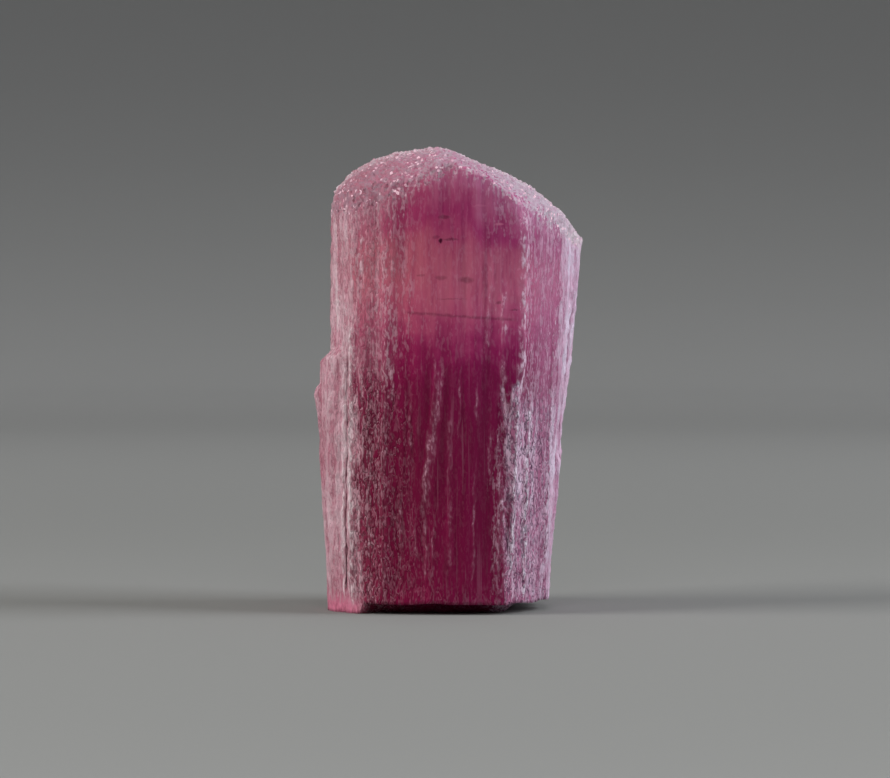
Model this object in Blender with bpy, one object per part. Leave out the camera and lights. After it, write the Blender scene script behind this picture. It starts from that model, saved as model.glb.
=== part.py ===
"""Rubellite crystal: a stout, vertically striated tourmaline prism with an etched dome on top.

The crystal is one natural piece, so it is one closed solid. Units are metres with +Z up along
the crystal's long axis. The front faces -Y. The origin is on the resting plane, under the middle
of the bounding box. Lengths are written in millimetres and angles in degrees; an azimuth is
measured around the long axis from the front (-Y) towards the right (+X).
"""
import math
import random

import bmesh
import bpy
from mathutils import Vector, noise
from mathutils.geometry import delaunay_2d_cdt

MM = 0.001

# ---------------------------------------------------------------- driving dimensions
HEIGHT = 38.4          # from the resting plane to the top of the dome
COLUMNS = 144          # points around the prism, one every 2.5 degrees
HEAD_LEVEL = 31.0      # height at which the prism faces reach their head distance
CORNER_SHARPNESS = 26  # higher values give crisper edges between the prism faces

# Prism faces: azimuth, and distance from the long axis at the foot, half way up and at the head.
PRISM_FACES = {
    "front": (0, 8.45, 8.62, 8.80),
    "right": (60, 8.30, 8.95, 9.75),
    "right_edge": (90, 8.00, 9.20, 11.50),
    "back_right": (120, 8.90, 9.40, 9.95),
    "back": (180, 8.80, 9.05, 9.20),
    "back_left": (-120, 8.05, 8.15, 8.15),
    "left_edge": (-90, 9.98, 10.00, 10.10),
    "left": (-60, 10.25, 10.40, 10.55),
    "front_left": (-30, 10.05, 10.15, 10.25),
    "front_turn": (-15, 9.35, 9.45, 9.55),
}

# Ribs: azimuth at the lower and the upper end, height, half width, lower and upper level.
# A negative height is a groove.
RIBS = {
    "left_groove": (-57.2, -57.2, -0.55, 2.4, 1.6, 22.0),
    "left_ridge": (-52.0, -51.8, 0.34, 3.4, 0.4, 25.0),
    "right_rope": (34.0, 35.5, 0.38, 4.0, 18.0, 33.5),
    "right_rope_foot": (31.0, 32.0, 0.28, 2.6, 3.0, 18.9),
    "right_rope_side": (41.5, 42.5, 0.30, 2.8, 1.0, 19.2),
    "ragged_vein": (-15.0, -5.0, 0.20, 4.4, 8.0, 21.4),
    "middle_line": (-1.0, -1.0, 0.16, 2.5, 3.2, 17.5),
    "right_line": (24.0, 25.0, 0.20, 2.5, 2.8, 13.2),
    "pointed_line": (25.4, 26.2, 0.22, 2.4, 18.0, 28.2),
    "hooked_line": (18.6, 20.6, 0.16, 2.5, 20.6, 30.6),
    "left_front_step": (-35.0, -32.5, 0.22, 3.0, 0.8, 26.0),
}
HIDDEN_RIBS = 20               # further ribs on the sides and the back
HIDDEN_RIB_RANGE = (60, 290)   # azimuths that they are spread over
HIDDEN_RIB_SEED = 11

# Striae: fine relief that runs the whole length, as (width across, depth).
STRIAE = ((2.6, 0.26), (1.1, 0.26))
STRIA_LENGTH = 16.0

# Ribs of crystal grown on over the prism, side by side. Each has four azimuths: its left side
# rises between the first two, and its right side falls between the last two. Then comes how far
# it stands out at each level. The tops are stepped, and tilt across the rib.
OVERGROWN_RIBS = {
    "left_front": ((-82.8, -80.0, -66.0, -57.0), ((0.0, 0.45), (11.0, 0.80), (18.7, 0.95),
                                                  (20.8, 0.90), (21.6, 0.0))),
    "left_edge": ((-100.8, -98.0, -74.0, -71.2), ((0.0, 0.50), (11.0, 1.00), (14.4, 1.02),
                                                  (17.4, 1.40), (18.2, 1.15), (18.8, 0.0))),
    "left_back": ((-121.8, -119.0, -97.0, -94.2), ((0.0, 0.30), (12.0, 0.62), (24.4, 0.75),
                                                   (26.4, 0.0))),
    "right_edge": ((77.2, 80.0, 97.0, 99.8), ((6.0, 0.0), (12.6, 0.30), (13.3, 0.0))),
    "back_right": ((125.2, 128.0, 146.0, 148.8), ((0.0, 0.55), (14.0, 0.45), (15.4, 0.0))),
}
OVERGROWN_TILT = 0.045   # rise of a rib's top per degree of azimuth

# The dome: the line of its crest from left to right, and how far it falls from there.
CREST = ((-9.9, 34.0), (-9.5, 34.7), (-8.7, 35.9), (-7.9, 36.55), (-6.7, 37.25), (-4.3, 38.0),
         (-1.2, 38.35), (0.1, 38.10), (1.0, 37.6), (4.5, 36.20), (6.6, 35.10), (9.2, 32.95),
         (10.4, 31.2), (11.2, 30.4))
CREST_DEPTH = 1.0        # the crest lies this far behind the axis
FRONT_FALL = ((-10.0, 1.9), (-7.4, 2.9), (-4.0, 2.7), (-1.5, 1.6), (0.5, 0.8), (2.6, 0.8),
              (4.3, 1.3), (6.0, 1.8), (7.7, 1.5), (10.0, 1.2))  # from the crest to the front rim
BACK_FALL = 3.4          # from the crest to the back rim
SHOULDER_INSET = 0.050   # share of the radius lost at the rounded left shoulder
SHOULDER_DEPTH = 1.9     # height over which the shoulder rounds in
SHOULDER_RINGS = (0.35, 0.68, 0.90)  # rings of points on the shoulder, as shares of its depth
DOME_GRAIN = 0.22        # height of the sugary grains
DOME_SPACING = 0.80      # distance between them

# The foot: a broken face, flat in the middle, that rises to a rim all round but for one lobe.
RIM_LIFT = 0.86
RIM_WAVE = 0.16
FLAT_LEFT, FLAT_RIGHT = -5.6, 4.0
FLAT_FRONT, FLAT_BACK = -5.4, 5.6
FLAT_MARGIN = 1.6        # width of the slope between the flat and the rim
LOBE_SPAN = (-100.0, -48.0)
LOBE_EDGE = 2.0          # degrees over which its sides rise
LOBE_REACH = 0.72        # share of the radius at which the lobe begins
FOOT_SPACING = 1.3

# Levels of the rings of points, closer together at the ledges. The upper ones follow the dome.
LEVELS = (1.8, 3.6, 5.4, 7.2, 9.0, 10.8, 12.0, 12.8, 13.4, 14.8, 16.2, 17.4, 18.1, 18.6, 19.5,
          20.4, 21.4, 22.8, 24.4, 26.2, 28.0, 30.0, 31.8, 33.2)
FREE_LEVEL = 24.0        # above this level the rings start to tilt with the dome


# ---------------------------------------------------------------- form of the crystal
def smooth(edge_low, edge_high, value):
    """0 at one edge, 1 at the other, and an S curve in between."""
    t = (value - edge_low) / (edge_high - edge_low)
    t = min(max(t, 0.0), 1.0)
    return t * t * (3.0 - 2.0 * t)


def along(table, position):
    """Value of a table of (position, value) pairs, straight between its rows."""
    if position <= table[0][0]:
        return table[0][1]
    for (x0, v0), (x1, v1) in zip(table, table[1:]):
        if position <= x1:
            return v0 + (v1 - v0) * (position - x0) / (x1 - x0)
    return table[-1][1]


def turn_between(azimuth, other):
    """Smallest turn from one azimuth to another, in degrees, -180 to 180."""
    return (azimuth - other + 180.0) % 360.0 - 180.0


def window(azimuth, span, edge):
    """1 inside a span of azimuths and 0 outside, with soft edges."""
    low, high = span
    turn = abs(turn_between(azimuth, 0.5 * (low + high)))
    half = 0.5 * (high - low)
    return smooth(half + edge, half, turn)


def prism_radius(azimuth, level):
    """Distance of the plain prism's surface from the axis: the soft meeting of its faces."""
    total = 0.0
    for face_azimuth, at_foot, at_middle, at_head in PRISM_FACES.values():
        facing = math.cos(math.radians(azimuth - face_azimuth))
        if facing > 0.0:
            profile = ((0.0, at_foot), (0.5 * HEAD_LEVEL, at_middle), (HEAD_LEVEL, at_head))
            total += (facing / along(profile, level)) ** CORNER_SHARPNESS
    return total ** (-1.0 / CORNER_SHARPNESS)


def all_ribs():
    """The named ribs, then seeded ones on the sides and the back."""
    ribs = list(RIBS.values())
    chance = random.Random(HIDDEN_RIB_SEED)
    first, last = HIDDEN_RIB_RANGE
    for index in range(HIDDEN_RIBS):
        azimuth = first + (last - first) * (index + chance.uniform(0.2, 0.8)) / HIDDEN_RIBS
        height = chance.uniform(0.14, 0.34) * chance.choice((1, 1, -1))
        low = chance.uniform(-6.0, 16.0)
        high = low + chance.uniform(10.0, 24.0)
        ribs.append((azimuth, azimuth + chance.uniform(-1.5, 1.5), height, 2.6, low, high))
    return ribs


RIB_LIST = all_ribs()
RIB_TAPER = 2.4          # length over which a rib's end fades out


def rib_relief(azimuth, level):
    """Height of the ribs and grooves at one place on the prism."""
    relief = 0.0
    for azimuth_low, azimuth_high, height, half_width, low, high in RIB_LIST:
        if low < level < high:
            rib_azimuth = azimuth_low + (azimuth_high - azimuth_low) * (level - low) / (high - low)
            across = abs(turn_between(azimuth, rib_azimuth)) / half_width
            if across < 1.0:
                fade = smooth(low, low + RIB_TAPER, level) * smooth(high, high - RIB_TAPER, level)
                relief += height * fade * (1.0 - across)
    return relief


def stria_relief(x, y, level):
    """Fine striae: noise that is short around the prism and long up it."""
    relief = 0.0
    for width, depth in STRIAE:
        place = Vector((x / width, y / width, level / STRIA_LENGTH))
        relief += depth * noise.noise(place)
    return relief


def overgrowth(azimuth, level):
    """How far the overgrown ribs stand out of the prism."""
    thickest = 0.0
    for (foot_left, left, right, foot_right), thickness in OVERGROWN_RIBS.values():
        turn = turn_between(azimuth, 0.5 * (left + right))
        half = 0.5 * (right - left)
        section = smooth(-half - (left - foot_left), -half, turn)
        section *= smooth(half + (foot_right - right), half, turn)
        stands_out = along(thickness, level - OVERGROWN_TILT * turn) * section
        thickest = max(thickest, stands_out)
    return thickest


def wall_point(azimuth, level):
    """One point of the prism's surface."""
    turn = math.radians(azimuth)
    outward = Vector((math.sin(turn), -math.cos(turn), 0.0))
    radius = prism_radius(azimuth, level)
    relief = rib_relief(azimuth, level)
    relief += stria_relief(outward.x * radius, outward.y * radius, level)
    relief += overgrowth(azimuth, level)
    return outward * (radius + relief) + Vector((0.0, 0.0, level))


def dome_height(x, y):
    """Level of the dome's surface, before its grains."""
    behind = y - CREST_DEPTH
    reach = PRISM_FACES["back"][3] - CREST_DEPTH
    fall = BACK_FALL
    if behind < 0.0:
        reach = PRISM_FACES["front"][3] + CREST_DEPTH
        fall = along(FRONT_FALL, x)
    return along(CREST, x) - fall * (abs(behind) / reach) ** 2.4


def foot_height(x, y, share):
    """Level of the broken foot; share is the distance from the axis over the rim's."""
    azimuth = math.degrees(math.atan2(x, -y))
    outside = max(FLAT_LEFT - x, x - FLAT_RIGHT, FLAT_FRONT - y, y - FLAT_BACK, 0.0)
    rise = smooth(0.0, FLAT_MARGIN, outside)
    lobe = window(azimuth, LOBE_SPAN, LOBE_EDGE) * smooth(LOBE_REACH - 0.1, LOBE_REACH, share)
    wave = RIM_WAVE * noise.noise(Vector((x / 3.0, y / 3.0, 4.0)))
    return (RIM_LIFT + wave) * rise * (1.0 - lobe)


# ---------------------------------------------------------------- mesh
def wall_rings():
    """Rings of points from the foot's rim to the dome's rim."""
    columns = []
    for index in range(COLUMNS):
        azimuth = 360.0 * index / COLUMNS
        foot = wall_point(azimuth, 0.0)
        foot.z = foot_height(foot.x, foot.y, 1.0)
        head = wall_point(azimuth, HEAD_LEVEL)
        inset = SHOULDER_INSET * 0.5 * (1.0 - math.sin(math.radians(azimuth)))
        rim = dome_height(head.x * (1.0 - inset), head.y * (1.0 - inset))
        column = [foot]
        for level in LEVELS:
            if level > FREE_LEVEL:
                lift = (rim - SHOULDER_DEPTH - FREE_LEVEL) / (LEVELS[-1] - FREE_LEVEL)
                level = FREE_LEVEL + (level - FREE_LEVEL) * lift
            column.append(wall_point(azimuth, level))
        for share in SHOULDER_RINGS:
            column.append(wall_point(azimuth, rim - SHOULDER_DEPTH * (1.0 - share)))
        column.append(wall_point(azimuth, rim))
        for point in column:
            up = min(max(1.0 - (rim - point.z) / SHOULDER_DEPTH, 0.0), 1.0)
            rounding = 1.0 - inset * (1.0 - math.sqrt(1.0 - up ** 2))
            point.x *= rounding
            point.y *= rounding
        columns.append(column)
    return [list(ring) for ring in zip(*columns)]


def cap(ring, spacing, level_at, grain):
    """Points inside a ring, on a staggered grid, and the triangles that close the ring."""
    chance = random.Random(5)
    flat = [Vector((point.x, point.y)) for point in ring]
    inside = []
    count = int(12.0 / spacing)
    for row in range(-count, count + 1):
        for step in range(-count, count + 1):
            x = (step + 0.5 * (row % 2)) * spacing
            y = row * spacing * math.sqrt(0.75)
            azimuth = math.degrees(math.atan2(x, -y)) % 360.0
            rim = flat[round(azimuth * COLUMNS / 360.0) % COLUMNS].length
            share = math.hypot(x, y) / rim
            if share < 1.0 - 0.6 * spacing / rim:
                lift = grain * chance.uniform(-1.0, 1.0)
                inside.append(Vector((x, y, level_at(x, y, share) + lift)))
    points = flat + [Vector((point.x, point.y)) for point in inside]
    outline = [list(range(COLUMNS))]
    triangles = delaunay_2d_cdt(points, [], outline, 1, 1e-5)
    origins = [source[0] for source in triangles[3]]
    faces = [[origins[corner] for corner in face] for face in triangles[2]]
    return inside, faces


def crystal_mesh():
    """The closed skin of the crystal: wall, dome and foot."""
    rings = wall_rings()
    dome_points, dome_faces = cap(
        rings[-1], DOME_SPACING, lambda x, y, share: dome_height(x, y), DOME_GRAIN)
    foot_points, foot_faces = cap(rings[0], FOOT_SPACING, foot_height, 0.0)

    form = bmesh.new()
    wall = [[form.verts.new(point * MM) for point in ring] for ring in rings]
    dome = wall[-1] + [form.verts.new(point * MM) for point in dome_points]
    foot = wall[0] + [form.verts.new(point * MM) for point in foot_points]
    for lower, upper in zip(wall, wall[1:]):
        for index in range(COLUMNS):
            after = (index + 1) % COLUMNS
            form.faces.new((lower[index], lower[after], upper[after], upper[index]))
    for face in dome_faces:
        form.faces.new([dome[corner] for corner in face])
    for face in foot_faces:
        form.faces.new([foot[corner] for corner in face])
    bmesh.ops.triangulate(form, faces=form.faces)
    bmesh.ops.recalc_face_normals(form, faces=form.faces)
    stand_on_origin(form)

    mesh = bpy.data.meshes.new("rubellite_crystal")
    form.to_mesh(mesh)
    form.free()
    return mesh


def stand_on_origin(form):
    """Move the mesh so that the middle of its bounding box is over the origin."""
    for axis in (0, 1):
        places = [vertex.co[axis] for vertex in form.verts]
        middle = 0.5 * (min(places) + max(places))
        for vertex in form.verts:
            vertex.co[axis] -= middle


# ---------------------------------------------------------------- material and object
def rubellite_material():
    """Deep pinkish red, clear inside, with a satin etched surface."""
    material = bpy.data.materials.new("rubellite")
    material.use_nodes = True
    shader = material.node_tree.nodes["Principled BSDF"]
    shader.inputs["Base Color"].default_value = (0.33, 0.055, 0.15, 1.0)
    shader.inputs["Roughness"].default_value = 0.35
    shader.inputs["Metallic"].default_value = 0.0
    shader.inputs["IOR"].default_value = 1.63
    shader.inputs["Transmission Weight"].default_value = 0.5
    return material


def build_crystal():
    """Make the crystal's object."""
    crystal = bpy.data.objects.new("rubellite_crystal", crystal_mesh())
    crystal.data.materials.append(rubellite_material())
    bpy.context.scene.collection.objects.link(crystal)


for old in list(bpy.data.objects):
    bpy.data.objects.remove(old, do_unlink=True)
build_crystal()
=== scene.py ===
import math
import random
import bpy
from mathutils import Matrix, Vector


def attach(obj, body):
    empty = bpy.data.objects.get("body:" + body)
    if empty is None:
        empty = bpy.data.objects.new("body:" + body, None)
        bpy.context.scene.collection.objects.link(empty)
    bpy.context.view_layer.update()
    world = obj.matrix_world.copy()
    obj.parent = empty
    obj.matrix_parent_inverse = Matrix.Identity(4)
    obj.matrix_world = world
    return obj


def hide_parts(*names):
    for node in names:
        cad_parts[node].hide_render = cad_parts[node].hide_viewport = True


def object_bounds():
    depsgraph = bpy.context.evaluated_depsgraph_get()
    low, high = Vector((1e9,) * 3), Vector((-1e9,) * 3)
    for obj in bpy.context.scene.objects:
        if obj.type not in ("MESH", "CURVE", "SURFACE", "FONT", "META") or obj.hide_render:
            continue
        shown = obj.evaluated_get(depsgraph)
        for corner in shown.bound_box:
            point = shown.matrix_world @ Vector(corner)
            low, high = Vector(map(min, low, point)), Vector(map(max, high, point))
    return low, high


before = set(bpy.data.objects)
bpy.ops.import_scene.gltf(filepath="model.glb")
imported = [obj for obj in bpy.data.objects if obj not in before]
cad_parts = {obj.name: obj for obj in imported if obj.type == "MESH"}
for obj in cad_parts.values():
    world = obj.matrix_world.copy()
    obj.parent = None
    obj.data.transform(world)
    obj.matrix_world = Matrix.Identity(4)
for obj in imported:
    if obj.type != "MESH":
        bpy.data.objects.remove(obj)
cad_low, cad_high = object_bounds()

from types import SimpleNamespace

import bmesh
import bpy
import numpy as np
from mathutils import Vector, noise
from mathutils.geometry import delaunay_2d_cdt

# ------------------------ the crystal: its form
# A rubellite is one piece of red tourmaline that grew as a long prism with vertical ribs. Its
# section is a triangle with cut, rounded corners. Lesser ribs grew on over its left side, the
# top was etched into a sugary dome, and the foot is a break.
MM = 0.001  # lengths are in millimetres, azimuths in degrees from the front (-Y) to the right (+X)
COLUMNS = 620
WALL_RINGS = 122
RING_GATHER = 0.97  # under 1, the rings lie closer together towards the head
HEAD_LEVEL = 31.0
CORNER_SHARPNESS = 26

PRISM_FACES = {  # azimuth, then distance from the axis at the foot, half way up and at the head
    "front": (0, 8.45, 8.62, 8.80),
    "right": (60, 8.30, 8.95, 9.75),
    "right_edge": (90, 8.00, 9.20, 11.50),
    "back_right": (120, 8.90, 9.40, 9.95),
    "back": (180, 8.80, 9.05, 9.20),
    "back_left": (-120, 8.05, 8.15, 8.15),
    "left_edge": (-90, 9.98, 10.00, 10.10),
    "left": (-60, 10.25, 10.40, 10.55),
    "front_left": (-30, 10.05, 10.15, 10.25),
    "front_turn": (-15, 9.35, 9.45, 9.55),
}

RIBS = {  # azimuth at each end, height, half width, lower and upper level, how pale its line is painted (a painted highlight, or below 0 painted shade in a groove)
    "left_groove": (-57.3, -57.5, -0.55, 2.0, 1.6, 22.0, -1.30),
    "left_ridge": (-52.0, -51.8, 0.34, 3.4, 0.4, 25.0, 0.60),
    "left_brow": (-59.2, -59.2, 0.10, 1.3, 1.2, 21.0, 0.66),
    "right_rope": (34.0, 35.5, 0.38, 4.6, 18.0, 33.5, 0.50),
    "right_rope_foot": (31.0, 32.0, 0.28, 2.6, 3.0, 18.9, 0.50),
    "right_rope_side": (41.5, 42.5, 0.30, 2.8, 1.0, 19.2, 0.50),
    "ragged_vein": (-15.0, -5.0, 0.20, 4.4, 8.0, 21.4, 0.17),
    "middle_line": (-1.0, -1.0, 0.16, 2.5, 3.2, 17.5, 0.08),
    "right_line": (24.0, 25.0, 0.20, 2.2, 2.8, 13.2, 0.18),
    "pointed_line": (25.4, 26.2, 0.22, 2.4, 18.0, 28.2, 0.22),
    "hooked_line": (18.6, 20.6, 0.16, 2.0, 20.6, 30.6, 0.10),
    "left_front_step": (-35.0, -32.5, 0.22, 3.0, 0.8, 26.0, 0.10),
}
HIDDEN_RIBS = 20
HIDDEN_RANGE = (60, 290)
HIDDEN_SEED = 11
HIDDEN_PLACE = (0.2, 0.8)  # where each stands in its share of the range
HIDDEN_HEIGHT = (0.14, 0.34)
HIDDEN_WAYS = (1, 1, -1)  # about one in three is a groove
HIDDEN_LOW = (-6.0, 16.0)
HIDDEN_LENGTH = (10.0, 24.0)
HIDDEN_SLANT = (-1.5, 1.5)
HIDDEN_HALF_WIDTH = 2.6
RIB_TAPER = 2.4
LINE_TAPER = 1.0
RIB_WAVER = ((0.30, 1.7, 1.0), (0.25, 4.3, 2.0))  # degrees aside, how quickly, how it starts

FINE_LINES = {  # hair-thin ridges with painted highlight lines, given as the ribs are
    "left_pink_line": (-41.0, -41.0, 0.10, 1.1, 10.4, 13.4, 0.30),
    "left_pink_line_low": (-41.8, -41.5, 0.10, 1.1, 4.6, 7.8, 0.30),
    "left_front_line": (-30.5, -30.5, 0.10, 1.2, 17.0, 21.4, 0.20),
    "upper_left_line": (-46.5, -46.0, 0.09, 1.2, 27.6, 32.8, 0.30),
    "upper_front_line": (-30.0, -29.5, 0.09, 1.2, 26.8, 34.2, 0.20),
    "low_line_1": (-27.4, -27.0, 0.08, 1.1, 3.8, 11.8, 0.16),
    "low_line_2": (-19.5, -20.0, 0.07, 1.0, 4.0, 9.4, 0.12),
    "low_line_3": (-13.9, -14.5, 0.09, 1.1, 2.6, 9.0, 0.16),
    "low_line_4": (-10.7, -10.0, 0.07, 1.0, 2.8, 8.6, 0.12),
    "high_line_1": (-22.5, -21.0, 0.08, 1.1, 11.0, 19.0, 0.12),
    "high_line_2": (4.0, 5.0, 0.08, 1.1, 14.0, 21.5, 0.12),
    "wavy_line": (11.6, 12.2, 0.10, 1.2, 2.6, 12.0, 0.17),
    "upper_streak": (13.2, 13.4, 0.08, 1.3, 15.8, 19.4, 0.16),
    "right_fine_line": (20.2, 20.0, 0.08, 0.9, 10.2, 16.4, 0.16),
    "right_double_line": (26.2, 26.0, 0.09, 1.1, 1.4, 11.8, 0.20),
    "pink_line": (22.4, 22.4, 0.08, 1.1, 24.0, 28.4, 0.16),
    "rope_side_line": (41.0, 41.5, 0.08, 1.0, 17.0, 24.0, 0.30),
    "high_edge_line": (-67.5, -66.0, 0.08, 1.8, 23.0, 32.0, 0.34),
    "high_brow_line": (-58.0, -58.5, 0.08, 1.3, 20.0, 28.5, 0.24),
    "left_edge_line": (-63.0, -62.0, 0.09, 1.2, 3.0, 17.0, 0.10),
    "vein_strand": (-10.8, -7.8, 0.08, 1.6, 15.0, 21.8, 0.13),
    "vein_body": (-14.8, -11.6, 0.08, 2.8, 9.0, 15.6, 0.13),
}
LINE_SHARPNESS = 1.5  # the pale line on a rib is this much narrower than the rib

STRIAE = ((2.6, 0.26), (1.1, 0.26))  # width across and depth of the broad striae
STRIA_LENGTH = 16.0

OVERGROWN_RIBS = {  # azimuths across it, foot, top, top, foot, then (level, how far it stands out)
    "left_front": ((-81.6, -80.0, -66.0, -57.0), ((0.0, 0.45), (11.0, 0.80), (18.7, 0.95),
                                                  (20.8, 0.90), (21.6, 0.0))),
    "left_edge": ((-99.6, -98.0, -74.0, -72.4), ((0.0, 0.50), (11.0, 1.00), (14.4, 1.02),
                                                 (17.4, 1.40), (18.2, 1.15), (18.8, 0.0))),
    "left_back": ((-120.6, -119.0, -97.0, -95.4), ((0.0, 0.30), (12.0, 0.62), (24.4, 0.75),
                                                   (26.4, 0.0))),
    "right_edge": ((78.4, 80.0, 97.0, 98.6), ((6.0, 0.0), (12.6, 0.30), (13.3, 0.0))),
    "back_right": ((126.4, 128.0, 146.0, 147.6), ((0.0, 0.55), (14.0, 0.45), (15.4, 0.0))),
}
OVERGROWN_TILT = 0.045

CREST = ((-9.9, 34.0), (-9.5, 34.7), (-8.7, 35.9), (-7.9, 36.55), (-6.7, 37.25), (-4.3, 38.0),
         (-1.2, 38.35), (0.1, 38.10), (1.0, 37.6), (4.5, 36.20), (6.6, 35.10), (9.2, 32.95),
         (10.4, 31.2), (11.2, 30.4))
CREST_DEPTH = 1.0
DOME_ROUNDNESS = 2.4
FRONT_FALL = ((-10.0, 1.9), (-7.4, 2.9), (-4.0, 2.7), (-1.5, 1.6), (0.5, 0.8), (2.6, 0.8),
              (4.3, 1.3), (6.0, 1.8), (7.7, 1.5), (10.0, 1.2))
BACK_FALL = 3.4
SHOULDER_INSET = 0.050
SHOULDER_DEPTH = 1.9
DOME_SPACING = 0.185
GRID_REACH = 12.0
RIM_GAP = 0.7  # clear space inside the rim, as a share of the spacing
SAME_POINT = 1e-5
SUGAR_EDGE = ((-10.5, 32.2), (-9.0, 32.9), (-7.4, 33.4), (-5.5, 34.0), (-4.0, 34.8), (-1.6, 36.0),
              (0.5, 36.7), (2.6, 36.1), (4.3, 35.0), (6.0, 33.7), (7.7, 32.6), (9.5, 31.0), (11.0, 29.6))
SUGAR_FADE = 1.10
SUGAR_OVER_RIM = 0.9  # how far the sugar comes down over the rim on the sides and behind
SUGAR_FRONT = (3.0, -1.0)  # from behind to the front, where the line above takes over

RIM_LIFT = 0.86
RIM_WAVE = 0.16
RIM_WAVE_LENGTH = 3.0
RIM_WAVE_PLACE = 4.0  # where in the noise the wave is cut
FLAT_LEFT, FLAT_RIGHT = -5.6, 4.0
FLAT_FRONT, FLAT_BACK = -5.4, 5.6
FLAT_MARGIN = 1.6
LOBE_SPAN = (-100.0, -48.0)
LOBE_EDGE = 2.0
LOBE_REACH = 0.72
LOBE_STEP = 0.1
FOOT_SPACING = 0.55

# The skin's patches: azimuths, levels, how frosted it is, and how much of it is crackled.
PATCHES = {
    "left_lobe": (-99.0, -50.0, 0.0, 1.3, 0.40, 0.05),
    "left_column": (-99.0, -57.0, 1.3, 21.0, 0.54, 0.30),
    "left_column_high": (-99.0, -52.0, 21.0, 36.0, 0.58, 0.42),
    "left_ridge": (-57.0, -50.0, 0.0, 21.0, 0.66, 0.40),
    "left_front_low": (-50.0, -36.0, 0.0, 19.5, 0.24, 1.00),
    "left_front_high": (-52.0, -32.0, 19.5, 36.0, 0.35, 0.38),
    "front_side_low": (-36.0, -22.0, 0.0, 18.5, 0.09, 0.70),
    "front_foot_left": (-24.0, -8.0, 0.0, 8.0, 0.10, 0.60),
    "front_foot": (-8.0, 26.0, 0.0, 1.2, 0.20, 0.80),
    "front_window": (-24.0, 25.0, 0.0, 21.0, 0.008, 0.10),
    "front_side_high": (-32.0, -18.0, 19.5, 36.0, 0.19, 0.15),
    "front_zone": (-18.0, 32.0, 21.0, 31.0, 0.06, 0.00),
    "head_window": (-18.0, 20.0, 31.0, 38.0, 0.03, 0.00),
    "head_corner": (20.0, 36.0, 31.0, 38.0, 0.16, 0.05),
    "right_corner_low": (24.5, 29.0, 0.0, 17.0, 0.40, 0.90),
    "right_low": (29.0, 54.0, 0.0, 17.5, 0.56, 0.95),
    "right_far_low": (54.0, 71.0, 0.0, 17.5, 0.46, 0.70),
    "right_high": (36.0, 71.0, 17.5, 36.0, 0.24, 0.30),
    "right_edge": (71.0, 104.0, 0.0, 36.0, 0.80, 0.15),
    "back_right_low": (104.0, 150.0, 0.0, 14.0, 0.50, 0.90),
    "back_right_high": (104.0, 150.0, 14.0, 36.0, 0.28, 0.40),
    "back_window": (150.0, 205.0, 0.0, 24.0, 0.03, 0.20),
    "back_zone": (150.0, 205.0, 24.0, 36.0, 0.12, 0.10),
    "back_left": (205.0, 240.0, 0.0, 36.0, 0.30, 0.60),
    "left_back_column": (240.0, 261.0, 0.0, 36.0, 0.58, 0.30),
}
HEAD_HAZE = 0.15  # the front is hazier close under the dome's grains
HEAD_HAZE_DEPTH = 2.6
PATCH_EDGE_TURN = 4.6
PATCH_EDGE_LEVEL = 1.8
PATCH_RAGGED = 5.0
PATCH_WAVE = (3.0, 2.5, 7.0)  # its length round the prism and up it, and its place in the noise
PATCH_BETWEEN = (0.001, 0.6, 0.2)  # weight, frost and crackle where no patch reaches


def smooth(edge_low, edge_high, value):
    """0 at one edge, 1 at the other, and an S curve in between."""
    t = np.clip((value - edge_low) / (edge_high - edge_low), 0.0, 1.0)
    return t * t * (3.0 - 2.0 * t)


def turn_between(azimuth, other):
    """Smallest turn from one azimuth to another, in degrees."""
    return (azimuth - other + 180.0) % 360.0 - 180.0


def window(azimuth, span, edge):
    """1 inside a span of azimuths and 0 outside, with soft edges."""
    turn = np.abs(turn_between(azimuth, 0.5 * (span[0] + span[1])))
    half = 0.5 * (span[1] - span[0])
    return smooth(half + edge, half, turn)


def along(table, position):
    """Value of a table of (position, value) pairs, straight between its rows."""
    return np.interp(position, [row[0] for row in table], [row[1] for row in table])


def prism_radius(azimuth, level):
    """Distance of the plain prism's surface from the axis: the soft meeting of its faces."""
    total = 0.0
    for face_azimuth, at_foot, at_middle, at_head in PRISM_FACES.values():
        facing = np.cos(np.radians(azimuth - face_azimuth)).clip(0.0)
        profile = ((0.0, at_foot), (0.5 * HEAD_LEVEL, at_middle), (HEAD_LEVEL, at_head))
        total = total + (facing / along(profile, level)) ** CORNER_SHARPNESS
    return total ** (-1.0 / CORNER_SHARPNESS)


def all_ribs():
    """The named ribs, then seeded ones on the sides and the back."""
    ribs = list(RIBS.values())
    chance = random.Random(HIDDEN_SEED)
    first, last = HIDDEN_RANGE
    for index in range(HIDDEN_RIBS):
        azimuth = first + (last - first) * (index + chance.uniform(*HIDDEN_PLACE)) / HIDDEN_RIBS
        height = chance.uniform(*HIDDEN_HEIGHT) * chance.choice(HIDDEN_WAYS)
        low = chance.uniform(*HIDDEN_LOW)
        high = low + chance.uniform(*HIDDEN_LENGTH)
        slant = chance.uniform(*HIDDEN_SLANT)
        ribs.append((azimuth, azimuth + slant, height, HIDDEN_HALF_WIDTH, low, high, height))
    return ribs


def ridges(azimuth, level, table):
    """Height of ribs and grooves, which waver and fade at their ends, and how pale they are painted: a
    painted highlight along a rib, painted shade in a groove.
    """
    relief = np.zeros(level.shape)
    lines = np.zeros(relief.shape)
    for azimuth_low, azimuth_high, height, half_width, low, high, paleness in table:
        middle = azimuth_low + (azimuth_high - azimuth_low) * (level - low) / (high - low)
        for aside, quickness, start in RIB_WAVER:
            middle = middle + aside * np.sin(level * quickness + start * azimuth_low)
        across = np.abs(turn_between(azimuth, middle)) / half_width
        fade = smooth(low, low + RIB_TAPER, level) * smooth(high, high - RIB_TAPER, level)
        relief += height * fade * (1.0 - across).clip(0.0)
        fade = smooth(low, low + LINE_TAPER, level) * smooth(high, high - RIB_TAPER, level)
        lines += paleness * fade * (1.0 - LINE_SHARPNESS * across).clip(0.0)
    return relief, lines


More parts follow.
